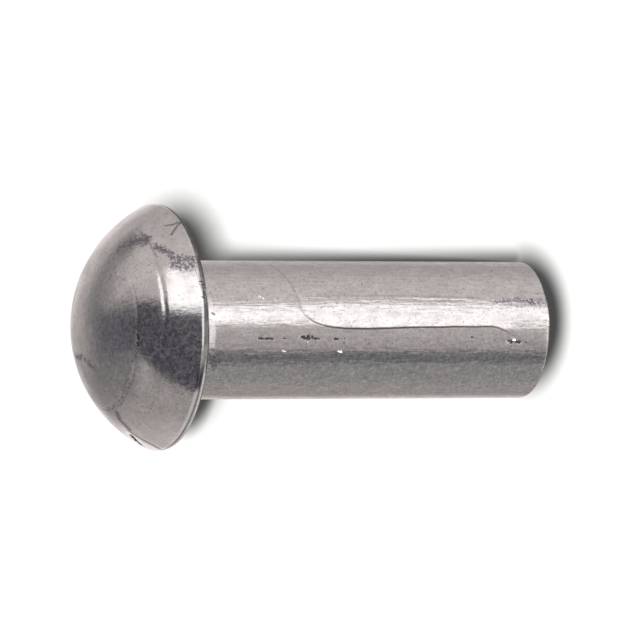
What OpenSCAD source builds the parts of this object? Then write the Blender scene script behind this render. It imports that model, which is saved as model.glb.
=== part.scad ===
// Round head rivet: a solid rivet cold-headed from round wire.
// It is one piece of metal, so it is one solid, turned from one outline.
//
// Frame: the origin is on the axis, in the plane of the flat seat under the head.
// +Z runs up through the head to the top of the dome, and the shank reaches down
// along -Z to its cropped end. Millimetres.

/* [Shank] */
// Diameter of the shank
shank_d = 5; // [4:0.1:6]
// Length from the seat under the head to the cropped end
shank_len = 14.4; // [6:0.2:40]
// Radius of the broken edge round the cropped end
tail_edge_r = 0.15; // [0.05:0.05:0.5]

/* [Head] */
// Diameter of the head across its rim
head_d = 8.85; // [8:0.05:12]
// Height of the head from the seat to the top of the dome
head_h = 3.1; // [2:0.1:4]
// Height of the narrow upright land that the rim is left with
rim_land_h = 0.3; // [0.3:0.05:0.6]
// Radius between the land and the flat seat
seat_edge_r = 0.12; // [0.05:0.01:0.2]
// Radius of the fillet where the shank runs out into the seat
neck_fillet_r = 0.3; // [0.05:0.05:0.5]

/* [Die rings] */
// Diameter of the inner ring that the heading die leaves on the dome
inner_ring_d = 5.8; // [4.4:0.1:6.4]
// Diameter of the outer ring
outer_ring_d = 7.4; // [6.8:0.1:7.5]
// Width of a ring's groove, measured along the dome
ring_w = 0.16; // [0.1:0.02:0.3]
// Depth of a ring's groove
ring_depth = 0.02; // [0.01:0.01:0.05]

/* [Hidden] */
$fn = 180;

shank_r = shank_d / 2;
head_r = head_d / 2;

// The dome is part of a sphere through its own top and the upper corner of the land.
dome_rise = head_h - rim_land_h;
dome_r = (head_r * head_r + dome_rise * dome_rise) / (2 * dome_rise);
dome_centre_z = head_h - dome_r;

// A groove is cut by a ball-nosed profile of this radius, which is as wide as ring_w
// where it meets the dome and reaches ring_depth into it.
groove_r = (ring_w * ring_w / 4 + ring_depth * ring_depth) / (2 * ring_depth);

// Half of the head's section: the dome's disc, held to the rim's width and the seat's plane.
module head_section() {
    intersection() {
        translate([0, dome_centre_z]) circle(r = dome_r);
        union() {
            translate([0, seat_edge_r]) square([head_r, head_h]);
            square([head_r - seat_edge_r, head_h]);
            translate([head_r - seat_edge_r, seat_edge_r]) circle(r = seat_edge_r);
        }
    }
}

// Section of one die ring's groove, on the dome at diameter d.
module ring_groove(d) {
    tilt = asin(d / 2 / dome_r);
    reach = dome_r + groove_r - ring_depth;
    translate([reach * sin(tilt), dome_centre_z + reach * cos(tilt)]) circle(r = groove_r);
}

// What fills the corner between the shank and the seat, less the fillet's arc.
module neck_section() {
    difference() {
        translate([0, -neck_fillet_r]) square([shank_r + neck_fillet_r, neck_fillet_r]);
        translate([shank_r + neck_fillet_r, -neck_fillet_r]) circle(r = neck_fillet_r);
    }
}

// Half of the shank's section, with the broken edge of its cropped end.
module shank_section() {
    translate([0, tail_edge_r - shank_len]) square([shank_r, shank_len - tail_edge_r]);
    translate([0, -shank_len]) square([shank_r - tail_edge_r, shank_len]);
    translate([shank_r - tail_edge_r, tail_edge_r - shank_len]) circle(r = tail_edge_r);
}

module rivet() {
    color("silver")
    rotate_extrude() {
        difference() {
            head_section();
            ring_groove(inner_ring_d);
            ring_groove(outer_ring_d);
        }
        neck_section();
        shank_section();
    }
}

rivet();
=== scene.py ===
"""Round head rivet: one cold-headed piece of aluminium wire, standing on its cropped end.

The rivet is turned from one outline, then given the marks that making and handling
leave on it: die rings, a flat with a lap along the shank, pits, dents and stains. Its finish
also carries painted glints on some specks and a painted dark reflection band on the dome.
"""

import logging
import math
from dataclasses import dataclass, field, replace
from enum import Enum
from functools import cache

import bpy
import numpy as np
from mathutils import Matrix, Vector


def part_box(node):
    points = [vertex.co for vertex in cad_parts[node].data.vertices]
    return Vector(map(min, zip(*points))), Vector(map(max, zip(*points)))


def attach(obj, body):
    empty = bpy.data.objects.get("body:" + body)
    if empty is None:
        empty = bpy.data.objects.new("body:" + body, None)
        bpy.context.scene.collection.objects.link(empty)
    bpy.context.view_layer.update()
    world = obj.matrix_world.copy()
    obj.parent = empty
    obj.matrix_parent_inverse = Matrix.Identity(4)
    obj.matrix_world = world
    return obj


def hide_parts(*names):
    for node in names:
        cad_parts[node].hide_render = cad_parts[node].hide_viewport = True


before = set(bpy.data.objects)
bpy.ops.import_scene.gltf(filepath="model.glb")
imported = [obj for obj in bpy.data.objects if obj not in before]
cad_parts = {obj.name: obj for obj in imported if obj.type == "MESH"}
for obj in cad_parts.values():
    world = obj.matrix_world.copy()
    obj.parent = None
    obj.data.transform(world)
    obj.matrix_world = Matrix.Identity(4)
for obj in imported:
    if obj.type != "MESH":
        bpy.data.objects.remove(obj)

MM = 0.001
LOG = logging.getLogger("rivet")

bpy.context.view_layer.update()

Pair = tuple[float, float]
Triple = tuple[float, float, float]
Colour = tuple[float, float, float, float]
Scratch = tuple[Triple, Triple, float, float]
Socket = bpy.types.NodeSocket
# what an input takes: a socket, a number, or a tuple of numbers
Given = object


def smooth(edge0: float, edge1: float, value: np.ndarray) -> np.ndarray:
    """Eases from 0 at one edge to 1 at the other.

    Args:
        edge0: where the result is 0.
        edge1: where the result is 1; it may be below edge0.
        value: the numbers to ease.

    Returns:
        Numbers from 0 to 1, as many as in value.
    """
    t = np.clip((value - edge0) / (edge1 - edge0), 0.0, 1.0)
    return t * t * (3.0 - 2.0 * t)


def read_points(mesh: bpy.types.Mesh) -> np.ndarray:
    """Reads a mesh's vertices.

    Args:
        mesh: the mesh.

    Returns:
        One row for each vertex.
    """
    flat = np.empty(len(mesh.vertices) * 3)
    mesh.vertices.foreach_get("co", flat)
    return flat.reshape(-1, 3)


# ---------------------------------------------------------------- shader graph


class Graph:
    """A node tree, with short calls that add a node and join it up."""

    def __init__(self, tree: bpy.types.NodeTree) -> None:
        """Keeps the tree.

        Args:
            tree: the node tree to add to.
        """
        self.tree = tree

    def add(self, kind: str, **settings: object) -> bpy.types.Node:
        """Adds a node.

        Args:
            kind: the node's type name.
            settings: properties to set on it.

        Returns:
            The new node.
        """
        node = self.tree.nodes.new(kind)
        for name, value in settings.items():
            setattr(node, name, value)
        return node

    def feed(self, node: bpy.types.Node, values: dict[str | int, Given]) -> bpy.types.Node:
        """Joins a node's inputs to other sockets, or sets their own values.

        Args:
            node: the node.
            values: name or number of each input, and what it takes.

        Returns:
            The same node.
        """
        for name, value in values.items():
            if isinstance(value, Socket):
                self.tree.links.new(value, node.inputs[name])
            else:
                node.inputs[name].default_value = value
        return node

    def math(self, operation: str, a: Given, b: Given = 0.0) -> Socket:
        """Adds a Math node.

        Args:
            operation: its operation.
            a: first input.
            b: second input.

        Returns:
            Its output.
        """
        return self.feed(self.add("ShaderNodeMath", operation=operation), {0: a, 1: b}).outputs[0]

    def chain(self, operation: str, *terms: Given) -> Socket:
        """Adds a Math node for each term after the first.

        Args:
            operation: the operation of all of them.
            terms: the numbers and sockets.

        Returns:
            The last node's output.
        """
        result = terms[0]
        for term in terms[1:]:
            result = self.math(operation, result, term)
        return result

    def times(self, *factors: Given) -> Socket:
        """Multiplies numbers."""
        return self.chain("MULTIPLY", *factors)

    def most(self, *terms: Given) -> Socket:
        """The largest of some numbers."""
        return self.chain("MAXIMUM", *terms)

    def vector(self, operation: str, a: Given, b: Given = (0.0, 0.0, 0.0)) -> Socket:
        """Adds a Vector Math node.

        Args:
            operation: its operation.
            a: first input.
            b: second input.

        Returns:
            Its number or vector output, whichever the operation makes.
        """
        node = self.feed(self.add("ShaderNodeVectorMath", operation=operation), {0: a, 1: b})
        return node.outputs["Value" if operation in ("DOT_PRODUCT", "LENGTH") else "Vector"]

    def stretch(self, where: Socket, *scale: float) -> Socket:
        """Scales coordinates by one factor on each axis."""
        return self.vector("MULTIPLY", where, scale)

    def split(self, where: Socket) -> tuple[Socket, ...]:
        """Takes coordinates apart into X, Y and Z."""
        return tuple(self.feed(self.add("ShaderNodeSeparateXYZ"), {0: where}).outputs)

    def ramp(
        self, value: Socket, low: Given, high: Given, to_low: float = 0.0, to_high: float = 1.0
    ) -> Socket:
        """Eases a value from one range to another.

        Args:
            value: the socket to read.
            low: where the result is to_low.
            high: where the result is to_high.
            to_low: the result at low.
            to_high: the result at high.

        Returns:
            The eased value.
        """
        inputs = {"Value": value, "From Min": low, "From Max": high, "To Min": to_low, "To Max": to_high}
        node = self.add("ShaderNodeMapRange", interpolation_type="SMOOTHSTEP")
        return self.feed(node, inputs).outputs["Result"]

    def mix(self, factor: Given, a: Given, b: Given) -> Socket:
        """Mixes two colours.

        Args:
            factor: how much of b.
            a: the colour at 0.
            b: the colour at 1.

        Returns:
            The mixed colour.
        """
        return self.feed(self.add("ShaderNodeMix", data_type="RGBA"), {0: factor, 6: a, 7: b}).outputs[2]

    def noise(self, where: Socket, scale: Given, detail: float, rough: float = 0.5) -> bpy.types.Node:
        """Adds a noise pattern, about 0.5 on average.

        Args:
            where: the coordinates.
            scale: features per unit of those coordinates.
            detail: how many finer layers.
            rough: how strong the finer layers are.

        Returns:
            Its node.
        """
        inputs = {"Vector": where, "Scale": scale, "Detail": detail, "Roughness": rough}
        return self.feed(self.add("ShaderNodeTexNoise"), inputs)

    def group(self, tree: bpy.types.NodeTree, **values: Given) -> bpy.types.Node:
        """Places a node group.

        Args:
            tree: the group.
            values: its inputs by name, and what each takes.

        Returns:
            The group node.
        """
        return self.feed(self.add("ShaderNodeGroup", node_tree=tree), values)


def shader_group(
    name: str, inputs: dict[str, Given], outputs: tuple[str, ...]
) -> tuple[Graph, bpy.types.Node]:
    """Makes an empty shader node group with named sockets.

    Args:
        name: the group's name.
        inputs: name and default of each input, a vector where the default is a tuple.
        outputs: names of the number outputs.

    Returns:
        The group's graph and its input node.
    """
    tree = bpy.data.node_groups.new(name, "ShaderNodeTree")
    for socket_name, default in inputs.items():
        kind = "NodeSocketVector" if isinstance(default, tuple) else "NodeSocketFloat"
        socket = tree.interface.new_socket(name=socket_name, in_out="INPUT", socket_type=kind)
        socket.default_value = default
    for socket_name in outputs:
        tree.interface.new_socket(name=socket_name, in_out="OUTPUT", socket_type="NodeSocketFloat")
    graph = Graph(tree)
    return graph, graph.add("NodeGroupInput")


# ---------------------------------------------------------------- finish


@cache
def metal_grain() -> bpy.types.NodeTree:
    """A fine uneven skin, which may be drawn out along an axis. It is built once.

    Returns:
        The group.
    """
    inputs = {"Where": (0.0, 0.0, 0.0), "Fine": 6.0, "Coarse": 1.5}
    graph, taken = shader_group("metal_grain", inputs, ("Fine", "Coarse"))
    patterns = {
        name: graph.noise(taken.outputs["Where"], taken.outputs[name], detail).outputs["Fac"]
        for name, detail in (("Fine", 3.0), ("Coarse", 4.0))
    }
    graph.feed(graph.add("NodeGroupOutput"), patterns)
    return graph.tree


@cache
def score_line() -> bpy.types.NodeTree:
    """A straight scratch between two points, as a mask. It is built once.

    Returns:
        The group.
    """
    inputs = {"Where": (0.0, 0.0, 0.0), "From": (0.0, 0.0, 0.0), "To": (0.0, 0.0, 1.0), "Width": 0.04}
    graph, taken = shader_group("score_line", inputs, ("Mask",))
    where, start, end, width = (taken.outputs[name] for name in inputs)
    run = graph.vector("SUBTRACT", end, start)
    off = graph.vector("SUBTRACT", where, start)
    covered, whole = graph.vector("DOT_PRODUCT", off, run), graph.vector("DOT_PRODUCT", run, run)
    share = graph.math("DIVIDE", covered, whole)
    share.node.use_clamp = True
    nearest = graph.feed(graph.add("ShaderNodeVectorMath", operation="SCALE"), {0: run, "Scale": share})
    away = graph.vector("LENGTH", graph.vector("SUBTRACT", off, nearest.outputs[0]))
    graph.feed(graph.add("NodeGroupOutput"), {"Mask": graph.ramp(away, width, 0.0)})
    return graph.tree


@dataclass(frozen=True)
class HeadedAluminium:
    """Bare aluminium as drawn, cropped and headed: satin, lined along the shank, with handling stains,
    painted glints and a painted dark reflection.

    Lengths are in millimetres.
    """

    name: str = "headed_aluminium"
    clean: Colour = (0.820, 0.795, 0.785, 1.0)
    cloudy: Colour = (0.725, 0.702, 0.695, 1.0)
    grainy: Colour = (0.560, 0.540, 0.540, 1.0)
    # blue-grey of the stains, also the colour of a painted dark reflection band on the dome
    stain: Colour = (0.230, 0.225, 0.265, 1.0)
    pit: Colour = (0.100, 0.092, 0.090, 1.0)
    # the pale flecks on the low side, and the white of the specks, which is a painted glint
    bright: Colour = (0.980, 0.975, 0.970, 1.0)
    lap: Colour = (0.16, 0.14, 0.13, 1.0)
    ring: Colour = (0.20, 0.195, 0.20, 1.0)
    land: Colour = (0.22, 0.21, 0.225, 1.0)
    scratch: Colour = (0.14, 0.13, 0.14, 1.0)
    torn: Colour = (0.45, 0.44, 0.44, 1.0)
    thin_grime: Colour = (0.34, 0.33, 0.33, 1.0)
    grime: Colour = (0.13, 0.125, 0.13, 1.0)
    polished: float = 0.14
    dull: float = 0.25
    torn_roughness: float = 0.50
    film: float = 0.040
    land_film: float = 0.12
    relief: float = 0.008
    crown_radius: float = 2.89
    ring_radius: float = 3.69
    rim_radius: float = 4.42
    scratches: tuple[Scratch, ...] = ()

    def material(self) -> bpy.types.Material:
        """Builds the material.

        Returns:
            The new material.
        """
        material = bpy.data.materials.new(self.name)
        material.use_nodes = True
        graph = Graph(material.node_tree)
        skin = Skin(graph, self)
        bump = graph.add("ShaderNodeBump")
        graph.feed(bump, {"Strength": 1.0, "Distance": self.relief * MM, "Height": skin.height()})
        looks = {
            "Base Color": skin.colour(),
            "Roughness": skin.roughness(),
            "Metallic": skin.metal(),
            "Normal": bump.outputs["Normal"],
        }
        graph.feed(graph.tree.nodes["Principled BSDF"], looks)
        return material


class Skin:
    """A finish in one material: where each of its layers lies, and how they look together.

    Places are in millimetres in the rivet's frame. A layer is a mask from 0 to 1. The low side is
    the one towards -X, which the camera, on its side, shows at the bottom.
    """

    def __init__(self, graph: Graph, finish: HeadedAluminium) -> None:
        """Finds the rivet's zones and lays the grain and every layer over them.

        Args:
            graph: the material's graph.
            finish: the finish's colours and sizes.
        """
        self.graph, self.finish = graph, finish
        self.point = graph.stretch(graph.add("ShaderNodeTexCoord").outputs["Object"], *(1.0 / MM,) * 3)
        self.x, _, self.z = graph.split(self.point)
        across = graph.stretch(self.point, 1.0, 1.0, 0.0)
        self.radius = graph.vector("LENGTH", across)
        self.on_head = graph.ramp(self.z, -0.05, 0.05)
        crown_edge = (finish.crown_radius + 0.10, finish.crown_radius - 0.10)
        self.on_crown = graph.times(self.on_head, graph.ramp(self.radius, *crown_edge))
        self.on_shank = graph.math("SUBTRACT", 1.0, self.on_head)

        climb = graph.feed(graph.add("ShaderNodeCombineXYZ"), {"Z": graph.times(self.radius, 0.35)})
        rays = graph.stretch(graph.vector("NORMALIZE", across), *(3.6,) * 3)
        rays = graph.vector("ADD", rays, climb.outputs[0])
        along = graph.stretch(self.point, 1.0, 1.0, 0.2)
        self.fine, self.coarse = graph.group(metal_grain(), Where=self.point, Fine=7.5, Coarse=1.7).outputs
        self.drawn, _ = graph.group(metal_grain(), Where=along, Fine=8.5, Coarse=2.6).outputs
        on_rays = graph.group(metal_grain(), Where=rays, Fine=8.0, Coarse=2.6)
        self.struck, self.struck_coarse = on_rays.outputs
        self.ragged = graph.ramp(self.noise(12.0, 3.0, 0.6), 0.3, 0.7, -0.30, 0.30)

        # stains, among them a painted dark reflection band on the dome
        self.stains_and_painted_reflection = self.marked("stain", 0.22, 0.85, 0.95)
        self.pitted = self.marked("pit", 0.34, 0.60, 0.95)
        # the specks, whose white colour is a painted glint
        self.painted_glints = self.marked("speck", 0.30, 0.55, 1.0)
        self.torn = self.mask("torn")
        self.scored = self.scratched()
        rim = graph.ramp(self.radius, finish.rim_radius - 0.05, finish.rim_radius - 0.02)
        on_rim = graph.times(self.on_head, rim)
        low_land = graph.times(on_rim, graph.ramp(self.x, -1.2, -1.8))
        # a short grey edge where the low side of the rim's land meets the dome
        land_edge = graph.times(graph.ramp(self.z, 0.165, 0.20), graph.ramp(self.x, -2.35, -2.05))
        self.land_edge = graph.times(low_land, land_edge)
        # a thin dark line along the low side of the land, and grime on the rest of the land
        self.rim_line = graph.times(self.line(self.z, 0.185, 0.048, 0.018, 0.85), low_land)
        self.low_land = graph.math("SUBTRACT", low_land, self.land_edge)
        self.dirty = graph.times(on_rim, graph.ramp(self.z, 0.27, 0.23), graph.ramp(self.x, -1.7, -1.0))

    def mask(self, name: str) -> Socket:
        """A mask that the mesh carries."""
        return self.graph.add("ShaderNodeAttribute", attribute_name=name).outputs["Fac"]

    def noise(self, *settings: float) -> Socket:
        """A noise pattern all over the rivet: its scale, layers and roughness."""
        return self.graph.noise(self.point, *settings).outputs["Fac"]

    def marked(self, name: str, low: float, high: float, most: float) -> Socket:
        """A mask of the mesh with a ragged edge.

        Args:
            name: the mask's name.
            low: its value where the layer starts.
            high: its value where the layer is full.
            most: the layer's strength there.

        Returns:
            The layer.
        """
        return self.graph.ramp(self.graph.math("ADD", self.mask(name), self.ragged), low, high, 0.0, most)

    def line(self, value: Socket, middle: float, half: float, core: float, strength: float) -> Socket:
        """A line where a value passes a middle.

        Args:
            value: the value.
            middle: where the line is.
            half: how far from there it ends.
            core: how far from there it is full.
            strength: the layer's strength there.

        Returns:
            The layer.
        """
        off = self.graph.math("ABSOLUTE", self.graph.math("SUBTRACT", value, middle))
        return self.graph.ramp(off, half, core, 0.0, strength)

    def scratched(self) -> Socket:
        """The fine scratches.

        Returns:
            The layer.
        """
        scored: Given = 0.0
        for start, end, width, strength in self.finish.scratches:
            line = self.graph.group(score_line(), Where=self.point, From=start, To=end, Width=width)
            scored = self.graph.most(scored, self.graph.times(line.outputs["Mask"], strength))
        return scored

    def crazed(self) -> Socket:
        """The net of fine lines in a crazed stain.

        Returns:
            The layer.
        """
        graph = self.graph
        wobble = graph.feed(graph.add("ShaderNodeTexNoise"), {"Vector": self.point, "Scale": 6.0})
        bent = graph.vector("ADD", self.point, graph.stretch(wobble.outputs["Color"], *(0.28,) * 3))
        cells = graph.add("ShaderNodeTexVoronoi", feature="DISTANCE_TO_EDGE")
        graph.feed(cells, {"Vector": bent, "Scale": 5.4})
        threads = graph.ramp(cells.outputs["Distance"], 0.23, 0.07)
        return graph.times(threads, self.marked("net", 0.12, 0.40, 0.9))

    def lap_line(self) -> Socket:
        """The dark line along the lap, fainter where it starts and fading out before the cropped end.

        Returns:
            The layer.
        """
        graph = self.graph
        line = graph.ramp(graph.math("ABSOLUTE", self.mask("lap")), 0.050, 0.016)
        fade = graph.ramp(self.z, -13.0, -12.2)
        return graph.times(line, fade, graph.ramp(self.z, -4.55, -4.95, 0.30, 0.95))

    def ring_lines(self) -> Socket:
        """The dark lines in the die rings, broken, and gone past a place on one side, and the rim's line.

        Returns:
            The layer.
        """
        graph, finish = self.graph, self.finish
        rings = []
        for ring, strength, reach in ((finish.crown_radius, 0.28, 1.3), (finish.ring_radius, 0.20, 4.0)):
            dirt = self.line(self.radius, ring, 0.040, 0.012, strength)
            rings.append(graph.times(dirt, graph.ramp(self.x, reach + 0.6, reach)))
        broken = graph.ramp(self.struck_coarse, 0.35, 0.62)
        return graph.most(graph.times(graph.most(*rings), self.on_head, broken), self.rim_line)

    def colour(self) -> Socket:
        """Clean metal under cloudy patches, drawing lines, stains, pits, a painted reflection and painted
        glints.

        Returns:
            The colour.
        """
        graph, finish = self.graph, self.finish
        low_side = graph.times(self.on_shank, graph.ramp(self.x, -0.8, -1.3))
        on_outer = graph.math("SUBTRACT", self.on_head, self.on_crown)
        grain = graph.ramp(self.fine, 0.38, 0.74, 0.0, 0.50)
        dirt = graph.ramp(self.coarse, 0.30, 0.62, 0.70, 0.98)
        grime = graph.mix(graph.ramp(self.x, -0.75, -0.55), finish.thin_grime, finish.grime)
        layers = (
            (graph.ramp(self.coarse, 0.35, 0.68), finish.cloudy),
            (graph.times(self.on_shank, graph.ramp(self.drawn, 0.42, 0.74, 0.0, 0.55)), finish.grainy),
            (graph.times(self.on_head, graph.ramp(self.struck, 0.40, 0.72, 0.0, 0.16)), finish.grainy),
            (graph.times(grain, graph.ramp(on_outer, 0.0, 1.0, 1.0, 0.45)), finish.grainy),
            (graph.times(low_side, graph.ramp(self.fine, 0.46, 0.30, 0.0, 0.55)), finish.bright),
            # stains, and on the dome a painted dark reflection band
            (self.stains_and_painted_reflection, finish.stain),
            (self.crazed(), finish.stain),
            (self.lap_line(), finish.lap),
            (self.ring_lines(), finish.ring),
            (self.land_edge, finish.land),
            (self.scored, finish.scratch),
            (self.pitted, finish.pit),
            # painted glints: the specks' white stands in for light caught by burrs
            (self.painted_glints, finish.bright),
            (graph.times(self.torn, 0.35), finish.torn),
            (graph.times(self.dirty, dirt), grime),
        )
        colour: Given = finish.clean
        for layer, shade in layers:
            colour = graph.mix(layer, colour, shade)
        return colour

    def roughness(self) -> Socket:
        """Duller on the crown and in patches, stains, pits, dirt and torn metal.

        Returns:
            The roughness.
        """
        graph, finish = self.graph, self.finish
        base = graph.ramp(self.on_crown, 0.0, 1.0, finish.polished, finish.dull)
        patches = graph.ramp(self.coarse, 0.35, 0.7, 0.0, 0.08)
        rough = graph.chain("ADD", base, patches, graph.times(self.stains_and_painted_reflection, 0.18))
        marks = ((self.pitted, 0.7), (self.dirty, 0.45), (self.torn, finish.torn_roughness))
        return graph.most(rough, *(graph.times(layer, share) for layer, share in marks))

    def metal(self) -> Socket:
        """Bare metal, less a smoky film that lifts its darks, and the specks, whose chalky white is a
        painted glint.

        Returns:
            The share of bare metal.
        """
        graph, finish = self.graph, self.finish
        film = graph.ramp(self.noise(7.0, 4.0, 0.65), 0.34, 0.72, 0.0, finish.film)
        on_land = graph.times(self.low_land, finish.land_film)
        film = graph.most(film, on_land, graph.times(self.painted_glints, 0.85))
        return graph.math("SUBTRACT", 1.0, film)

    def height(self) -> Socket:
        """Relief finer than the mesh: grain, drawing lines along the shank, die marks round the head.

        Returns:
            The height, as a share of the finish's relief.
        """
        graph = self.graph
        dragged = graph.noise(graph.stretch(self.point, 1.0, 1.0, 0.05), 7.0, 3.0, 0.6).outputs["Fac"]
        turned = graph.noise(self.radius, 5.5, 2.0).outputs["Fac"]
        return graph.chain(
            "ADD",
            graph.times(self.fine, graph.ramp(self.on_head, 0.0, 1.0, 0.58, 0.5)),
            graph.times(self.on_shank, self.drawn),
            graph.times(self.on_shank, graph.ramp(self.x, 0.55, 0.95, 0.3, 2.6), dragged),
            graph.times(self.on_head, self.struck, 0.3),
            graph.times(self.on_crown, turned, 0.8),
            graph.times(self.pitted, -1.2),
            graph.times(self.scored, -0.8),
            graph.times(self.painted_glints, 1.5),
        )


# ---------------------------------------------------------------- the rivet


@dataclass
class Rivet:
    """The whole rivet, head and shank in one mesh. Lengths are in metres, angles in degrees.

    An angle round the axis is 0 towards -Y and grows towards +X.
    """

    head_radius: float
    head_height: float
    shank_length: float
    shank_radius: float = 2.5 * MM
    land_height: float = 0.30 * MM
    seat_edge: float = 0.16 * MM
    neck_fillet: float = 0.30 * MM
    tail_edge: float = 0.10 * MM
    inner_ring: float = 2.90 * MM
    outer_ring: float = 3.70 * MM
    ring_width: float = 0.10 * MM
    ring_depth: float = 0.005 * MM
    outer_width: float = 0.20 * MM
    outer_depth: float = 0.010 * MM
    shank_shift: float = -0.10 * MM
    head_lean: float = 0.0144
    # how many faces each run of the outline gets, and the whole turn
    land_faces: int = 4
    edge_faces: int = 5
    seat_faces: int = 8
    neck_faces: int = 6
    shank_faces: int = 176
    tail_faces: int = 14
    turn_faces: int = 300
    finish: HeadedAluminium = field(default_factory=HeadedAluminium)

    def dome(self) -> Pair:
        """The sphere that the dome is cut from.

        Returns:
            Its radius, and the height of its centre.
        """
        rise = self.head_height - self.land_height
        radius = (self.head_radius**2 + rise**2) / (2 * rise)
        return radius, self.head_height - radius

    def dome_outline(self) -> list[Pair]:
        """The dome's section from its top to the rim, with a shallow groove at each die ring.

        Returns:
            Radius and height of each point in turn.
        """
        radius, centre = self.dome()
        points: list[Pair] = [(0.0, self.head_height)]
        sizes = (self.inner_ring, self.outer_ring, self.head_radius)
        inner, outer, rim = (math.asin(size / radius) for size in sizes)
        groove, step = self.ring_width / radius / 2, self.outer_width / radius / 2
        # each zone's end, the spacing of its points, and how deep it is cut
        zones = (
            (inner - groove, 0.085 * MM, 0.0),
            (inner + groove, 0.02 * MM, self.ring_depth),
            (outer - step, 0.06 * MM, 0.0),
            (outer + step, 0.022 * MM, self.outer_depth),
            (rim, 0.06 * MM, 0.0),
        )
        start = 0.0
        for end, spacing, cut in zones:
            count = max(4, round((end - start) * radius / spacing))
            for share in (index / count for index in range(1, count + 1)):
                angle = start + (end - start) * share
                reach = radius - cut * math.sin(math.pi * share)
                points.append((reach * math.sin(angle), centre + reach * math.cos(angle)))
            start = end
        return points

    def outline(self) -> list[Pair]:
        """Half of the rivet's section, from the top of the dome down to the middle of its cropped end.

        Returns:
            Radius and height of each point in turn.
        """
        points = self.dome_outline()
        points += self.straight(points[-1], (self.head_radius, self.seat_edge), self.land_faces)
        corner = (self.head_radius - self.seat_edge, self.seat_edge)
        points += self.arc(corner, self.seat_edge, 0.0, -90.0, self.edge_faces)
        neck = self.shank_radius + self.neck_fillet
        points += self.straight(points[-1], (neck, 0.0), self.seat_faces)
        points += self.arc((neck, -self.neck_fillet), self.neck_fillet, 90.0, 180.0, self.neck_faces)
        tail = self.tail_edge - self.shank_length
        points += self.straight(points[-1], (self.shank_radius, tail), self.shank_faces)
        corner = (self.shank_radius - self.tail_edge, tail)
        points += self.arc(corner, self.tail_edge, 0.0, -90.0, self.edge_faces)
        return points + self.straight(points[-1], (0.0, -self.shank_length), self.tail_faces)

    @staticmethod
    def straight(start: Pair, end: Pair, count: int) -> list[Pair]:
        """Evenly spaced points on a straight run, without its first.

        Args:
            start: where it starts.
            end: where it ends.
            count: how many points.

        Returns:
            The points.
        """
        (x0, z0), (x1, z1) = start, end
        steps = range(1, count + 1)
        return [(x0 + (x1 - x0) * step / count, z0 + (z1 - z0) * step / count) for step in steps]

    @staticmethod
    def arc(centre: Pair, radius: float, start: float, end: float, count: int) -> list[Pair]:
        """Evenly spaced points on an arc, without its first.

        Args:
            centre: the arc's centre.
            radius: its radius.
            start: the angle it starts at.
            end: the angle it ends at.
            count: how many points.

        Returns:
            The points.
        """
        angles = [math.radians(start + (end - start) * step / count) for step in range(1, count + 1)]
        return [(centre[0] + radius * math.cos(a), centre[1] + radius * math.sin(a)) for a in angles]

    def turn(self) -> bpy.types.Object:
        """Turns the outline about the axis.

        Returns:
            The closed mesh.
        """
        points = self.outline()
        bpy.ops.object.select_all(action="DESELECT")
        bpy.ops.mesh.primitive_plane_add(size=1 * MM, location=(0.0, 0.0, 0.0))
        blank = bpy.context.active_object
        blank.name = blank.data.name = "rivet_body"
        bpy.ops.object.mode_set(mode="EDIT")
        bpy.ops.mesh.select_all(action="SELECT")
        bpy.ops.mesh.merge(type="CENTER")
        bpy.ops.transform.translate(value=(0.0, 0.0, points[0][1]))
        for (r0, z0), (r1, z1) in zip(points, points[1:]):
            bpy.ops.mesh.extrude_region_move(TRANSFORM_OT_translate={"value": (r1 - r0, 0.0, z1 - z0)})
        bpy.ops.mesh.select_all(action="SELECT")
        middle, upright = (0.0, 0.0, 0.0), (0.0, 0.0, 1.0)
        bpy.ops.mesh.spin(steps=self.turn_faces, angle=math.tau, center=middle, axis=upright)
        bpy.ops.mesh.select_all(action="SELECT")
        bpy.ops.mesh.remove_doubles(threshold=0.0005 * MM)
        bpy.ops.mesh.normals_make_consistent(inside=False)
        bpy.ops.object.mode_set(mode="OBJECT")
        return blank

    def lean(self, body: bpy.types.Object) -> None:
        """Sets the head a little askew on the shank, as the heading blow left it.

        Args:
            body: the rivet's mesh, still true.
        """
        points = read_points(body.data)
        x, z = points[:, 0].copy(), points[:, 2].copy()
        headed = smooth(-1.0 * MM, -0.02 * MM, z)
        points[:, 0] = x + (1.0 - headed) * self.shank_shift - headed * self.head_lean * np.maximum(z, 0.0)
        points[:, 2] = z + headed * self.head_lean * x * smooth(-0.4 * MM, 0.0, z)
        body.data.vertices.foreach_set("co", points.ravel())
        body.data.update()

    def build(self) -> bpy.types.Object:
        """Makes, marks and dresses the rivet.

        Returns:
            The finished object.
        """
        body = self.turn()
        marks = Marks(self, body)
        marks.apply()
        self.lean(body)
        bpy.ops.object.select_all(action="DESELECT")
        body.select_set(True)
        bpy.context.view_layer.objects.active = body
        bpy.ops.object.shade_smooth_by_angle(angle=math.radians(40.0))
        finish = replace(self.finish, rim_radius=self.head_radius / MM, scratches=marks.scratches())
        body.data.materials.clear()
        body.data.materials.append(finish.material())
        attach(body, "root")
        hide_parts("rivet")
        LOG.info("%s: %d faces", body.name, len(body.data.polygons))
        return body


class Side(Enum):
    """Which surface a mark lies on, and so what its first number means."""

    HEAD = "degrees down the dome from its top"
    SHANK = "millimetres down the shank from the seat"


@dataclass(frozen=True)
class Trail:
    """A mark that follows a path. Each place is its way down, then its angle round the axis."""

    side: Side
    places: tuple[Pair, ...]
    reach: float
    depth: float = 0.0
    weight: float = 1.0


def trails(side: Side, *rows: tuple) -> tuple[Trail, ...]:
    """Makes the trails of one side, each from a row of its places, reach, depth and weight."""
    return tuple(Trail(side, *row) for row in rows)


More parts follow.
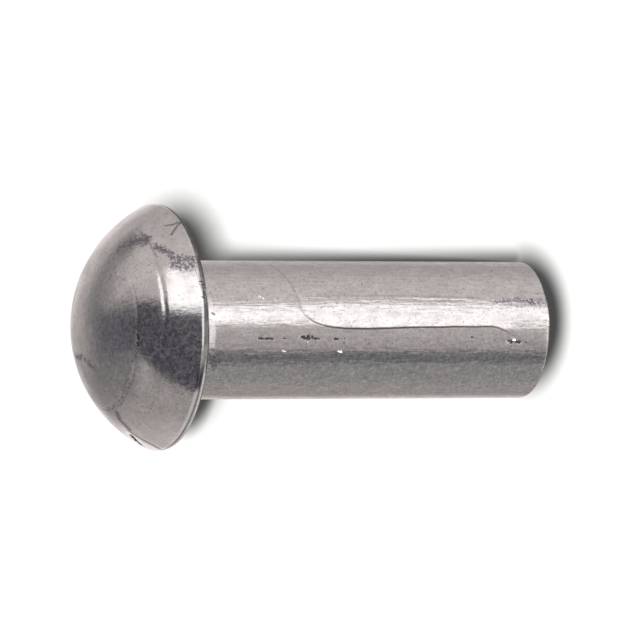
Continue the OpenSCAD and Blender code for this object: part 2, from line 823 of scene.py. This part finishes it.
class Marks:
    """What making and handling leave on the rivet, as heights and masks at its vertices.

    Lengths are in millimetres and angles in degrees round the axis, 0 towards -Y and growing towards +X.
    """

    # where the skin that the gripping die pushed along the shank ends: a lap
    lap: tuple[Pair, ...] = (
        (3.9, 70.0), (4.1, 55.0), (4.3, 40.0), (4.4, 28.0), (4.45, 18.0), (4.6, 12.0), (4.9, 7.0),
        (5.2, 4.5), (5.6, 2.5), (6.2, 1.3), (7.0, 1.0), (8.0, 1.5), (8.7, 2.2), (9.5, 2.4),
        (10.0, 2.3), (10.5, 2.8), (11.4, 2.6), (12.0, 3.0), (12.3, 1.8), (12.55, -0.6), (12.8, -3.4),
        (12.9, -5.0),
    )
    # the lap turns from across the shank to along it at this place
    lap_bend: int = 4
    lap_rise: float = 0.012
    flat_depth: float = 0.030
    # how far a mark's relief reaches, as a share of its mask's reach
    mark_spread: float = 1.15
    # blue-grey handling stains; the three on the dome between 35 and 49 degrees down paint a dark
    # reflection band
    stains: tuple[Trail, ...] = trails(
        Side.HEAD,
        (((37.0, 69.5), (41.0, 67.5), (44.0, 65.0)), 0.34, 0.0, 0.55),
        (((44.0, 64.5), (47.0, 61.0), (49.0, 57.5)), 0.46, 0.0, 0.95),
        (((51.0, 49.0), (52.0, 47.0), (53.2, 46.6), (53.6, 44.4), (54.8, 43.8)), 0.12, 0.0, 0.9),
        (((52.0, 51.0), (52.6, 48.6), (51.6, 46.8)), 0.1, 0.0, 0.8),
        (((54.6, 42.2), (56.2, 41.2), (57.2, 39.6)), 0.11, 0.0, 0.8),
        (((55.6, 38.8), (56.4, 36.8), (58.0, 36.6), (59.4, 37.8)), 0.11, 0.0, 0.8),
        (((12.0, -104.0), (13.0, -90.0), (14.5, -80.0), (18.0, -68.0)), 0.25, 0.0, 0.62),
        (((16.5, -134.0), (14.5, -122.0), (12.0, -104.0)), 0.27, 0.0, 0.74),
        (((35.4, -42.0), (35.6, -60.0), (36.2, -72.0), (36.7, -84.0), (36.2, -97.0)), 0.24, 0.0, 0.5),
    ) + trails(
        Side.SHANK,
        (((0.7, -17.0), (0.95, -22.0), (1.1, -27.0)), 0.46, 0.0, 0.85),
        (((11.0, 57.0), (11.02, 61.0)), 0.12, 0.0, 0.6),
        (((7.75, 57.0), (7.85, 55.5)), 0.11, 0.0, 0.5),
        (((12.55, 58.0), (12.6, 61.0)), 0.11, 0.0, 0.5),
        (((2.6, 57.0), (2.75, 56.5)), 0.1, 0.0, 0.35),
        (((12.2, 24.8), (13.2, 25.0), (14.2, 24.2)), 0.33, 0.0, 0.62),
    )
    # a crazed stain with a net of fine lines
    nets: tuple[Trail, ...] = trails(
        Side.HEAD,
        (((57.5, 34.6), (59.5, 32.8), (61.5, 32.2), (63.0, 32.0)), 0.36),
        (((52.0, 47.5), (55.0, 41.5), (57.5, 36.5)), 0.18, 0.0, 0.8),
    )
    # pits and nicks, nearly black inside
    pits: tuple[Trail, ...] = trails(
        Side.SHANK,
        (((2.74, -6.8), (2.92, -7.1)), 0.072, 0.014),
        (((2.98, -6.9), (3.3, -7.3)), 0.068, 0.012, 0.95),
        (((3.7, -7.4), (3.8, -7.4)), 0.05, 0.006, 0.6),
        (((4.42, -5.2), (4.52, -6.0)), 0.078, 0.014),
        (((4.58, -6.6), (4.74, -6.9)), 0.095, 0.02),
        (((4.66, -5.3), (4.86, -5.6)), 0.078, 0.016),
        (((4.9, -7.0), (5.12, -7.3)), 0.068, 0.014),
        (((5.7, -7.1), (5.85, -7.4)), 0.078, 0.01, 0.85),
        (((6.1, -7.6), (6.2, -7.7)), 0.075, 0.008, 0.8),
        (((12.72, -9.8), (12.86, -10.2)), 0.1, 0.016),
        (((13.05, -9.9), (13.16, -10.4)), 0.09, 0.014),
        (((13.36, -10.3), (13.42, -10.3)), 0.06, 0.008, 0.8),
        (((12.9, -4.9), (12.93, -5.2)), 0.07, 0.01, 0.9),
        (((11.22, -6.2), (11.28, -6.6)), 0.07, 0.01, 0.8),
        (((8.2, -9.3), (8.3, -9.6)), 0.06, 0.006, 0.6),
        (((0.95, 14.0), (1.0, 13.6)), 0.06, 0.01, 0.8),
        (((9.78, 5.6), (9.83, 5.4)), 0.05, 0.006, 0.6),
        (((13.58, 26.0), (13.66, 22.5)), 0.05, 0.01, 0.9),
        (((13.74, 26.5), (13.82, 22.5)), 0.05, 0.01, 0.8),
        (((12.6, 24.5), (12.8, 24.2)), 0.06, 0.008, 0.6),
    ) + trails(
        Side.HEAD,
        (((35.9, -4.5), (36.4, -8.0), (36.2, -12.0)), 0.095, 0.014),
        (((52.5, -90.5), (55.5, -93.0), (58.5, -95.0), (61.0, -97.0)), 0.2, 0.04, 0.95),
        (((54.0, -93.0), (57.0, -96.0)), 0.13, 0.02, 0.8),
        (((65.8, 21.5), (66.3, 18.0), (66.2, 14.5)), 0.14, 0.015, 0.9),
    )
    # burrs, raised in the relief, with a painted glint: their white, unmetallic colour stands in for the
    # light they catch
    specks: tuple[Trail, ...] = trails(
        Side.SHANK,
        (((4.64, -9.9), (4.7, -10.2)), 0.055, -0.008),
        (((5.95, -18.4), (6.05, -18.0)), 0.065, -0.01),
        (((2.9, 29.5), (3.1, 26.5)), 0.04, -0.006, 0.6),
        (((2.72, 29.0), (2.92, 26.0)), 0.035, -0.005, 0.5),
        (((12.88, -7.9), (12.93, -8.2)), 0.058, -0.01),
        (((3.72, -17.2), (3.8, -17.6)), 0.045, -0.005, 0.5),
    )
    # scratches too fine for the mesh
    scores: tuple[Trail, ...] = trails(
        Side.HEAD,
        (((58.8, 59.5), (61.5, 57.8), (65.6, 57.6)), 0.085, 0.0, 0.88),
        (((59.0, 51.5), (61.8, 54.6), (65.0, 57.4)), 0.085, 0.0, 0.88),
        (((39.6, -79.0), (42.7, -83.0), (47.5, -83.0), (50.2, -85.0), (56.0, -83.0), (61.0, -81.4),
          (65.0, -82.0)), 0.21, 0.0, 0.8),
        (((49.3, 51.0), (49.8, 42.0)), 0.08, 0.0, 0.5),
    ) + trails(
        Side.SHANK,
        (((10.62, 20.0), (10.8, 14.5)), 0.08, 0.0, 0.35),
        (((5.2, 27.7), (9.0, 27.6), (11.8, 25.3)), 0.085, 0.0, 0.55),
        (((7.8, 24.2), (10.9, 22.8)), 0.07, 0.0, 0.4),
        (((6.0, 19.1), (8.6, 19.8), (10.4, 18.2)), 0.06, 0.0, 0.42),
    )
    # dents broad enough to bend the reflections; the one with a negative depth is a low ridge
    dents: tuple[Trail, ...] = trails(
        Side.HEAD,
        (((37.6, -7.0), (39.5, -9.0)), 0.3, 0.01),
        (((47.0, 61.0), (49.0, 58.0)), 0.4, 0.008),
        (((22.0, 40.0), (26.0, 55.0)), 0.6, 0.006),
        (((60.5, -45.0), (62.0, -52.0)), 0.35, 0.006),
        (((50.0, 160.0), (54.0, 171.0)), 0.4, 0.014),
        (((57.0, -150.0), (60.0, -146.0)), 0.3, 0.012),
    ) + trails(
        Side.SHANK,
        (((12.4, -1.5), (12.9, -3.0), (13.5, -4.0), (14.1, -4.4)), 0.45, -0.017),
        (((8.7, -70.0), (8.95, -78.0), (9.1, -86.0)), 0.12, 0.014),
        (((2.2, 150.0), (3.4, 156.0)), 0.35, 0.012),
        (((9.6, -150.0), (11.2, -141.0)), 0.3, 0.014),
        (((6.6, 118.0), (7.4, 121.0)), 0.4, 0.01),
    )
    # each wave's height, its turns along X, Y and Z, and where it starts
    drawn_waves: tuple[tuple[float, ...], ...] = (
        (0.0016, 2.1, 0.0, 0.35, 0.6), (0.0014, 0.0, 2.7, -0.42, 1.9), (0.0009, 4.0, 0.0, 0.9, 0.0),
    )
    struck_waves: tuple[tuple[float, ...], ...] = (
        (0.0022, 1.9, 2.3, 0.0, 0.4), (0.0016, -2.2, 3.6, 0.0, 1.1), (0.0010, 5.1, 4.4, 0.0, 0.0),
    )

    def __init__(self, rivet: Rivet, body: bpy.types.Object) -> None:
        """Reads where the vertices are.

        Args:
            rivet: the rivet's sizes.
            body: its mesh, not yet marked.
        """
        self.rivet = rivet
        self.body = body
        self.points = read_points(body.data) / MM
        self.dome_radius, self.dome_centre = (size / MM for size in rivet.dome())
        self.shank_radius, self.shank_length = rivet.shank_radius / MM, rivet.shank_length / MM
        self.radius = np.hypot(self.points[:, 0], self.points[:, 1])
        self.height = self.points[:, 2]
        self.down = -self.height
        self.angle = np.degrees(np.arctan2(self.points[:, 0], -self.points[:, 1]))
        self.tilt = np.degrees(np.arctan2(self.radius, self.height - self.dome_centre))
        self.on_head = self.height > rivet.land_height / MM - 0.02
        skin = (self.radius > self.shank_radius - 0.03) & (self.radius < self.shank_radius + 0.05)
        self.on_shank = (self.height < -0.05) & skin
        self.depth = np.zeros(len(self.points))
        self.masks: dict[str, np.ndarray] = {}

    def spot(self, side: Side, place: Pair) -> np.ndarray:
        """Finds a place's point.

        Args:
            side: the surface it is on.
            place: its way down and its angle round the axis.

        Returns:
            The point.
        """
        way, turn = place[0], math.radians(place[1])
        out, height = self.shank_radius, -way
        if side is Side.HEAD:
            out = self.dome_radius * math.sin(math.radians(way))
            height = self.dome_centre + self.dome_radius * math.cos(math.radians(way))
        return np.array((out * math.sin(turn), -out * math.cos(turn), height))

    def away(self, trail: Trail) -> np.ndarray:
        """Measures how far each vertex is from a trail's path.

        Args:
            trail: the trail.

        Returns:
            The distances.
        """
        places = [trail.places[0]]
        for start, end in zip(trail.places, trail.places[1:]):
            places += Rivet.straight(start, end, 4)
        spots = [self.spot(trail.side, place) for place in places]
        near = np.full(len(self.points), np.inf)
        for start, end in zip(spots, spots[1:]):
            run = end - start
            share = np.clip((self.points - start) @ run / max(float(run @ run), 1e-12), 0.0, 1.0)
            near = np.minimum(near, np.linalg.norm(self.points - start - share[:, None] * run, axis=1))
        return near

    def press(self, marks: tuple[Trail, ...], spread: float = 1.0) -> np.ndarray:
        """Adds trails to the relief by their depths.

        Args:
            marks: the trails.
            spread: how far the relief reaches, as a share of each trail's reach.

        Returns:
            Their mask.
        """
        mask = np.zeros(len(self.points))
        for trail in marks:
            near = self.away(trail)
            mask = np.maximum(mask, trail.weight * np.clip(1.0 - near / trail.reach, 0.0, 1.0))
            self.depth += trail.depth * smooth(trail.reach * spread, 0.0, near)
        return mask

    def grip_flat(self) -> None:
        """The long flat that the gripping die left on the shank, and the lap along one edge of it."""
        ways, turns = np.array(self.lap).T
        bend = self.lap_bend
        edge = np.interp(self.down, ways[bend:], turns[bend:], left=turns[bend], right=0.0)
        middle, above, below = 12.0, 17.0, 11.5
        off = self.angle - middle
        crown = np.clip(1.0 - (off / np.where(off < 0.0, below, above)) ** 2, 0.0, None)
        inside = smooth(-0.7, 0.7, self.angle - edge) * smooth(4.30, 4.62, self.down)
        inside *= smooth(13.1, 12.2, self.down)
        near = self.away(Trail(Side.SHANK, self.lap, 0.10))
        proud = smooth(0.8, 0.0, near) * smooth(12.8, 12.0, self.down)
        relief = inside * (self.flat_depth * crown - self.lap_rise * proud)
        self.depth += np.where(self.on_shank, relief, 0.0)
        # the lap's mask is the distance from it, positive on the flat and negative outside it,
        # so that it passes through 0 between two vertices
        by_turn = np.interp(self.angle, turns[bend::-1], ways[bend::-1])
        on_flat = (self.angle > edge) & (self.down > 4.5)
        past = np.where(self.angle > turns[bend], self.down > by_turn, on_flat)
        side = np.where(past, 1.0, -1.0)
        far = 0.9
        self.masks["lap"] = np.where(self.on_shank & (near < far), side * near, far)

    def neck_swell(self) -> None:
        """The slight swell that heading leaves on the shank below the seat."""
        swell = np.clip(1.10 - self.down, 0.0, None)
        swell = 0.135 * np.where(swell < 0.1, swell**2 / 0.2, swell - 0.05)
        self.depth -= np.where(self.on_shank, swell * smooth(-0.28, -0.45, self.height), 0.0)

    def waves(self, rows: tuple[tuple[float, ...], ...]) -> np.ndarray:
        """Adds up waves, each from its height, its turns along X, Y and Z, and where it starts."""
        x, y, z = self.points.T
        return sum(height * np.sin(a * x + b * y + c * z + start) for height, a, b, c, start in rows)

    def waviness(self) -> None:
        """The faint unevenness of drawn wire and of a struck head, which bends reflections."""
        drawn, struck = self.waves(self.drawn_waves), self.waves(self.struck_waves)
        self.depth += np.where(self.on_head, struck, np.where(self.on_shank, drawn, 0.0))

    def groove(self, ring: float, width: float, depth: float) -> np.ndarray:
        """How deep a die ring is at each vertex, as it was cut.

        Args:
            ring: its radius, in metres.
            width: its width, in metres.
            depth: its depth, in metres.

        Returns:
            The depths, in millimetres.
        """
        middle = math.degrees(math.asin(ring / MM / self.dome_radius))
        half = math.degrees(width / MM / self.dome_radius / 2)
        share = np.clip((self.tilt - middle + half) / (2 * half), 0.0, 1.0)
        return depth / MM * np.sin(math.pi * share)

    def worn_rings(self) -> np.ndarray:
        """How much of the die rings is filled back in: the die pressed them deep on one side only.

        Returns:
            The heights, in millimetres.
        """
        outer = self.groove(self.rivet.outer_ring, self.rivet.outer_width, self.rivet.outer_depth)
        inner = self.groove(self.rivet.inner_ring, self.rivet.ring_width, self.rivet.ring_depth)
        shallow = np.maximum(smooth(0.0, -25.0, self.angle), smooth(52.0, 75.0, self.angle))
        return outer * shallow + inner * smooth(36.0, 52.0, self.angle) * smooth(130.0, 105.0, self.angle)

    def cropped_end(self) -> None:
        """The sheared face of the cropped end: a smooth cut crescent, then torn metal."""
        x, y, _ = self.points.T
        border = self.shank_radius - 0.25
        face = (self.down > self.shank_length - 0.002) & (self.radius < border)
        torn = smooth(-0.6, 0.5, y + 0.25 * np.sin(2.3 * x))
        across = np.sin(7.1 * x + 1.3 * np.sin(3.0 * y))
        along = np.sin(9.3 * y + 1.7 * np.sin(4.1 * x))
        rough = 0.5 + 0.25 * across + 0.25 * along
        inner = smooth(border, border - 0.35, self.radius)
        self.depth += np.where(face, inner * (0.015 + 0.045 * torn * rough), 0.0)
        self.masks["torn"] = np.where(self.down > self.shank_length - 0.1, torn * inner, 0.0)

    def scratches(self) -> tuple[Scratch, ...]:
        """The fine scratches, as straight pieces.

        Returns:
            Start, end, width and strength of each piece.
        """
        found = []
        for trail in self.scores:
            spots = [tuple(float(part) for part in self.spot(trail.side, place)) for place in trail.places]
            found += [(start, end, trail.reach, trail.weight) for start, end in zip(spots, spots[1:])]
        return tuple(found)

    def apply(self) -> None:
        """Works out every mark, then gives the mesh its relief and its masks."""
        self.grip_flat()
        self.neck_swell()
        self.waviness()
        self.cropped_end()
        layers = {"stain": self.stains, "net": self.nets, "pit": self.pits, "speck": self.specks}
        for name, marks in layers.items():
            self.masks[name] = self.press(marks, self.mark_spread)
        self.press(self.dents)
        rim = self.rivet.head_radius / MM
        hold = smooth(rim - 0.02, rim - 0.10, self.radius)
        headed = np.maximum(self.depth, 0.0) * hold - self.worn_rings()
        self.depth = np.where(self.on_head, headed, self.depth)
        self.emboss()
        for name, values in self.masks.items():
            layer = self.body.data.attributes.new(name, "FLOAT", "POINT")
            layer.data.foreach_set("value", values.astype(np.float32))

    def emboss(self) -> None:
        """Moves the surface in and out by the marks' depths, with one modifier each way."""
        bpy.context.view_layer.objects.active = self.body
        for name, depth, sign in (("sunk", self.depth, -1.0), ("raised", -self.depth, 1.0)):
            most = float(depth.max())
            group = self.body.vertex_groups.new(name=name)
            for index in np.nonzero(depth > most * 1e-4)[0]:
                group.add([int(index)], float(depth[index] / most), "REPLACE")
            press = self.body.modifiers.new(name, "DISPLACE")
            press.direction = "NORMAL"
            press.mid_level = 0.0
            press.strength = sign * most * MM
            press.vertex_group = name
            bpy.ops.object.modifier_apply(modifier=press.name)
        LOG.info("relief: %.3f mm deep at most", float(self.depth.max()))


# ---------------------------------------------------------------- studio


@dataclass(frozen=True)
class Viewpoint:
    """Where the camera stands: in front of the rivet, above it, and turned on its side."""

    elevation: float = 24.9
    distance: float = 280.0 * MM
    lens: float = 433.8
    aim_height: float = -7.2 * MM
    aim_across: float = -0.10 * MM
    aim_left: float = 0.81 * MM
    aim_up: float = 0.36 * MM
    clip: Pair = (0.01, 10.0)

    def axes(self) -> tuple[Vector, Vector, Vector]:
        """The picture's right and up, and the way back to the camera.

        Returns:
            Three unit vectors.
        """
        tilt = math.radians(self.elevation)
        back = Vector((0.0, -math.cos(tilt), math.sin(tilt)))
        right = Vector((0.0, -math.sin(tilt), -math.cos(tilt)))
        return right, back.cross(right), back

    def camera(self) -> None:
        """Makes the scene's camera."""
        right, up, back = self.axes()
        data = bpy.data.cameras.new("camera")
        data.lens = self.lens
        data.clip_start, data.clip_end = self.clip
        camera = bpy.data.objects.new("camera", data)
        bpy.context.scene.collection.objects.link(camera)
        aim = Vector((self.aim_across, 0.0, self.aim_height))
        aim += up * self.aim_up - right * self.aim_left
        turn = Matrix((right, up, back)).transposed().to_4x4()
        camera.matrix_world = Matrix.Translation(aim + back * self.distance) @ turn
        bpy.context.scene.camera = camera


@dataclass(frozen=True)
class Edge:
    """A soft straight edge of a light panel, placed where it shows on a mirror ball."""

    across: float
    up: float
    facing: float
    softness: float

    def mask(self, graph: Graph, place: Socket) -> Socket:
        """Says how far inside the edge a place is.

        Args:
            graph: the world's graph.
            place: the place on the mirror ball.

        Returns:
            0 outside, 1 inside.
        """
        turn = math.radians(self.facing)
        inward = (math.cos(turn), math.sin(turn), 0.0)
        at = self.across * inward[0] + self.up * inward[1]
        reach = graph.vector("DOT_PRODUCT", place, inward)
        return graph.ramp(reach, at - self.softness, at + self.softness)


def right_of(across: float, softness: float) -> Edge:
    """An upright edge with the panel to its right."""
    return Edge(across, 0.0, 0.0, softness)


def left_of(across: float, softness: float) -> Edge:
    """An upright edge with the panel to its left."""
    return Edge(across, 0.0, 180.0, softness)


def above(up: float, softness: float) -> Edge:
    """A level edge with the panel above it."""
    return Edge(0.0, up, 90.0, softness)


def below(up: float, softness: float) -> Edge:
    """A level edge with the panel below it."""
    return Edge(0.0, up, -90.0, softness)


@dataclass(frozen=True)
class Ring:
    """A soft round edge about the middle of the mirror ball: from nothing at start to all at full."""

    start: float
    full: float

    def mask(self, graph: Graph, place: Socket) -> Socket:
        """Says how far past the round edge a place is.

        Args:
            graph: the world's graph.
            place: the place on the mirror ball.

        Returns:
            0 at start, 1 at full.
        """
        return graph.ramp(graph.vector("LENGTH", place), self.start, self.full)


class Tint(Enum):
    """Colour casts of the panels."""

    WARM = (1.0, 0.93, 0.915)
    PLAIN = (1.0, 0.985, 0.98)
    COOL = (0.92, 0.90, 1.13)
    STEEL = (0.94, 0.985, 1.05)

    def lit(self, level: float) -> Colour:
        """The cast at a brightness."""
        red, green, blue = self.value
        return (red * level, green * level, blue * level, 1.0)


@dataclass(frozen=True)
class Panel:
    """A panel of the light tent, lit or dark, inside its edges."""

    level: float
    tint: Tint
    edges: tuple[Edge | Ring, ...]


def panel(level: float, tint: Tint, *edges: Edge | Ring) -> Panel:
    """Makes a panel from its brightness, its cast and its edges."""
    return Panel(level, tint, edges)


TENT_PANELS = (
    # dimmer towards the ceiling
    panel(0.45, Tint.WARM, above(0.74, 0.20)),
    # a brighter stretch of wall that only the shank mirrors
    panel(0.64, Tint.WARM, right_of(0.10, 0.15), above(0.42, 0.08), below(0.74, 0.16)),
    # the room behind the camera: a soft dark, and a darker arc over it
    panel(
        0.19, Tint.PLAIN,
        right_of(-0.84, 0.06), left_of(-0.50, 0.06), above(-0.50, 0.14), below(0.06, 0.08),
    ),
    panel(0.20, Tint.PLAIN, Ring(0.70, 0.81), Ring(0.91, 0.86), left_of(-0.50, 0.08), above(0.02, 0.1)),
    # the dark flag beside the camera: its paler half, which the crown mirrors, and its dark half
    panel(
        0.105, Tint.COOL,
        right_of(-0.81, 0.06), left_of(-0.46, 0.05), below(0.135, 0.03), above(-0.20, 0.07),
    ),
    panel(
        0.060, Tint.COOL,
        below(0.185, 0.025), Edge(-0.326, -0.373, 42.0, 0.02), Edge(-0.326, -0.373, 65.0, 0.022),
        left_of(0.03, 0.03), right_of(-0.66, 0.07),
    ),
    # the flag's pale end, which only the shank mirrors, in two steps
    panel(0.130, Tint.STEEL, right_of(0.16, 0.06), below(-0.31, 0.035), above(-0.50, 0.03)),
    panel(0.28, Tint.PLAIN, right_of(0.16, 0.06), below(-0.48, 0.03), above(-0.74, 0.10)),
    # the white floor, which shows all round the edge of the ball
    panel(0.92, Tint.WARM, Ring(0.935, 1.0), left_of(0.0, 0.12), above(-0.1, 0.3)),
    panel(0.80, Tint.WARM, Ring(0.950, 0.998), below(-0.1, 0.3)),
    panel(0.55, Tint.WARM, below(-0.72, 0.09), left_of(0.0, 0.08)),
    panel(
        1.10, Tint.WARM,
        Ring(0.945, 0.966), right_of(-0.64, 0.08), left_of(-0.10, 0.08), below(-0.55, 0.08),
    ),
    panel(0.66, Tint.PLAIN, Ring(0.964, 0.974), right_of(-0.02, 0.04), above(0.5, 0.1)),
    panel(0.26, Tint.PLAIN, Ring(0.987, 0.995), right_of(-0.02, 0.04), above(0.5, 0.1)),
    # the pale front of the table, which only the neck and the broken edges mirror
    panel(0.65, Tint.WARM, right_of(0.47, 0.03), below(-0.24, 0.08)),
    panel(1.05, Tint.PLAIN, right_of(0.485, 0.03), below(0.42, 0.08), above(-0.24, 0.08)),
    panel(0.13, Tint.PLAIN, right_of(0.63, 0.03)),
    # a strip light that only the rim's corner mirrors
    panel(
        1.1, Tint.PLAIN,
        right_of(0.10, 0.03), left_of(0.33, 0.03), below(0.50, 0.06), above(-0.16, 0.04),
    ),
    # the long softbox over the shank
    panel(
        1.38, Tint.PLAIN,
        right_of(-0.29, 0.02), Edge(-0.20, 0.126, 87.8, 0.046), Edge(0.1, 0.358, -98.8, 0.028),
    ),
)


@dataclass(frozen=True)
class LightTent:
    """The soft studio that the metal mirrors.

    Places are on a mirror ball of radius 1, as the camera sees it.
    """

    view: Viewpoint
    panels: tuple[Panel, ...] = TENT_PANELS
    top: float = 0.58
    bottom: float = 0.36
    rise: Pair = (-0.45, 0.5)
    room: float = 0.09

    def mirrored(self, graph: Graph) -> Socket:
        """Paints the tent: the wall, paler towards its top, and the panels in front of it.

        Args:
            graph: the world's graph.

        Returns:
            The colour that each direction shows.
        """
        right, up, back = self.view.axes()
        way = graph.add("ShaderNodeTexCoord").outputs["Generated"]
        half = graph.vector("NORMALIZE", graph.vector("ADD", way, tuple(back)))
        across = graph.vector("DOT_PRODUCT", half, tuple(right))
        rise = graph.vector("DOT_PRODUCT", half, tuple(up))
        place = graph.feed(graph.add("ShaderNodeCombineXYZ"), {"X": across, "Y": rise}).outputs[0]
        low, high = Tint.WARM.lit(self.bottom), Tint.WARM.lit(self.top)
        colour = graph.mix(graph.ramp(rise, *self.rise), low, high)
        for lit in self.panels:
            mask = graph.times(*(edge.mask(graph, place) for edge in lit.edges))
            colour = graph.mix(mask, colour, lit.tint.lit(lit.level))
        return colour

    def build(self) -> None:
        """Makes the world: a plain pale room for the floor, and the tent for what mirrors it."""
        world = bpy.data.worlds.new("light_tent")
        bpy.context.scene.world = world
        world.use_nodes = True
        world.cycles.sampling_method = "NONE"
        graph = Graph(world.node_tree)
        light = graph.add("ShaderNodeLightPath").outputs
        tent = graph.feed(graph.tree.nodes["Background"], {"Color": self.mirrored(graph)})
        brightness = graph.ramp(light["Is Camera Ray"], 0.0, 1.0, self.room, 1.0)
        room = graph.add("ShaderNodeBackground")
        graph.feed(room, {"Color": (1.0, 1.0, 1.0, 1.0), "Strength": brightness})
        both = graph.add("ShaderNodeMixShader")
        graph.feed(both, {0: light["Is Glossy Ray"], 1: room.outputs[0], 2: tent.outputs[0]})
        graph.feed(graph.tree.nodes["World Output"], {"Surface": both.outputs[0]})


@dataclass(frozen=True)
class Studio:
    """The floor under the rivet, with a painted shade in its colour, and the lamp that throws the shadow.

    The painted shade is an oval at the foot, a strip beside the shank's shadow and an oval at the head's.
    A pair named for an edge or a side says where the painted shade starts and where it is full.
    """

    floor_height: float
    floor_size: float = 4.0
    paper: Colour = (0.86, 0.86, 0.85, 1.0)
    # the colour of the painted shade, which the shade mask mixes into the paper
    dark: Colour = (0.055, 0.055, 0.055, 1.0)
    lamp_power: float = 8.2
    lamp_spread: float = 2.7
    lamp_elevation: float = 25.4
    lamp_turn: float = 1.05
    foot_middle: Pair = (0.25 * MM, -0.45 * MM)
    foot_reach: Pair = (2.85 * MM, 3.70 * MM)
    foot_edge: Pair = (1.12, 0.64)
    side_outer: Pair = (3.20 * MM, 2.40 * MM)
    side_inner: Pair = (1.7 * MM, 2.3 * MM)
    side_near: Pair = (-1.5 * MM, 0.5 * MM)
    side_far: Pair = (28.0 * MM, 25.0 * MM)
    painted_side_shade_strength: float = 0.90
    # the strip thins out between these two places, to this share of its strength
    thinning: Pair = (9.0 * MM, 25.0 * MM)
    thinned: float = 0.78
    head_middle: Pair = (-0.10 * MM, 30.6 * MM)
    head_reach: Pair = (4.14 * MM, 4.00 * MM)
    head_edge: Pair = (1.13, 0.88)
    head_inner: Pair = (1.5 * MM, -1.5 * MM)
    painted_head_shade_strength: float = 0.85

    def floor(self) -> None:
        """Makes the floor."""
        bpy.ops.object.select_all(action="DESELECT")
        bpy.ops.mesh.primitive_plane_add(size=self.floor_size, location=(0.0, 0.0, 0.0))
        floor = bpy.context.active_object
        floor.name = "floor"
        bpy.ops.object.mode_set(mode="EDIT")
        bpy.ops.mesh.select_all(action="SELECT")
        bpy.ops.transform.translate(value=(0.0, 0.0, self.floor_height))
        bpy.ops.object.mode_set(mode="OBJECT")
        floor.visible_glossy = False
        paper = bpy.data.materials.new("pale_paper_with_painted_shade")
        paper.use_nodes = True
        graph = Graph(paper.node_tree)
        # painted shade: the paper's colour is darkened where the shade mask says
        colour = graph.mix(self.shade(graph), self.paper, self.dark)
        looks = {"Base Color": colour, "Roughness": 1.0, "Specular IOR Level": 0.0}
        graph.feed(graph.tree.nodes["Principled BSDF"], looks)
        floor.data.materials.append(paper)

    def shade(self, graph: Graph) -> Socket:
        """Where shade is painted into the floor's colour: round the foot, and beside the shadows of shank
        and head.

        Args:
            graph: the floor's graph.

        Returns:
            The painted shade, from 0 to 1.
        """
        place = graph.add("ShaderNodeTexCoord").outputs["Object"]
        x, y, _ = graph.split(place)

        def oval(middle: Pair, reach: Pair, edge: Pair) -> Socket:
            """A soft oval of painted shade.

            Args:
                middle: its middle.
                reach: its half width and half length.
                edge: where it starts and where it is full, as shares of that reach.

            Returns:
                The shade.
            """
            off = graph.vector("SUBTRACT", place, (*middle, 0.0))
            off = graph.stretch(off, 1.0 / reach[0], 1.0 / reach[1], 0.0)
            return graph.ramp(graph.vector("LENGTH", off), *edge)

        # painted shade, not cast by the lamp: a strip beside the shank's shadow, ovals at the foot and by
        # the head's shadow
        beside = graph.times(
            graph.ramp(x, *self.side_outer, 0.0, self.painted_side_shade_strength),
            graph.ramp(x, *self.side_inner),
            graph.ramp(y, *self.side_near),
            graph.ramp(y, *self.thinning, 1.0, self.thinned),
            graph.ramp(y, *self.side_far),
        )
        foot = oval(self.foot_middle, self.foot_reach, self.foot_edge)
        head = oval(self.head_middle, self.head_reach, self.head_edge)
        head = graph.times(head, self.painted_head_shade_strength, graph.ramp(x, *self.head_inner))
        return graph.most(beside, foot, head)

    def lamp(self) -> None:
        """Makes the lamp, low in front of the rivet."""
        data = bpy.data.lights.new("lamp", "SUN")
        data.energy = self.lamp_power
        data.angle = math.radians(self.lamp_spread)
        lamp = bpy.data.objects.new("lamp", data)
        bpy.context.scene.collection.objects.link(lamp)
        rise, turn = math.radians(self.lamp_elevation), math.radians(self.lamp_turn)
        level = math.cos(rise)
        back = Vector((-math.sin(turn) * level, -math.cos(turn) * level, math.sin(rise)))
        lamp.rotation_mode = "QUATERNION"
        lamp.rotation_quaternion = (-back).to_track_quat("-Z", "Y")
        lamp.visible_glossy = False


def main() -> None:
    """Builds the rivet and its studio, in order."""
    low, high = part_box("rivet")
    rivet = Rivet(head_radius=high.x, head_height=high.z, shank_length=-low.z)
    rivet.build()
    view = Viewpoint()
    view.camera()
    LightTent(view=view).build()
    studio = Studio(floor_height=low.z)
    studio.floor()
    studio.lamp()
    LOG.info("camera, tent, floor and lamp are in place")
    scene = bpy.context.scene
    scene.view_settings.view_transform = "Standard"
    scene.view_settings.look = "None"


if __name__ == "__main__":
    logging.basicConfig(level=logging.INFO, format="%(message)s")
    main()
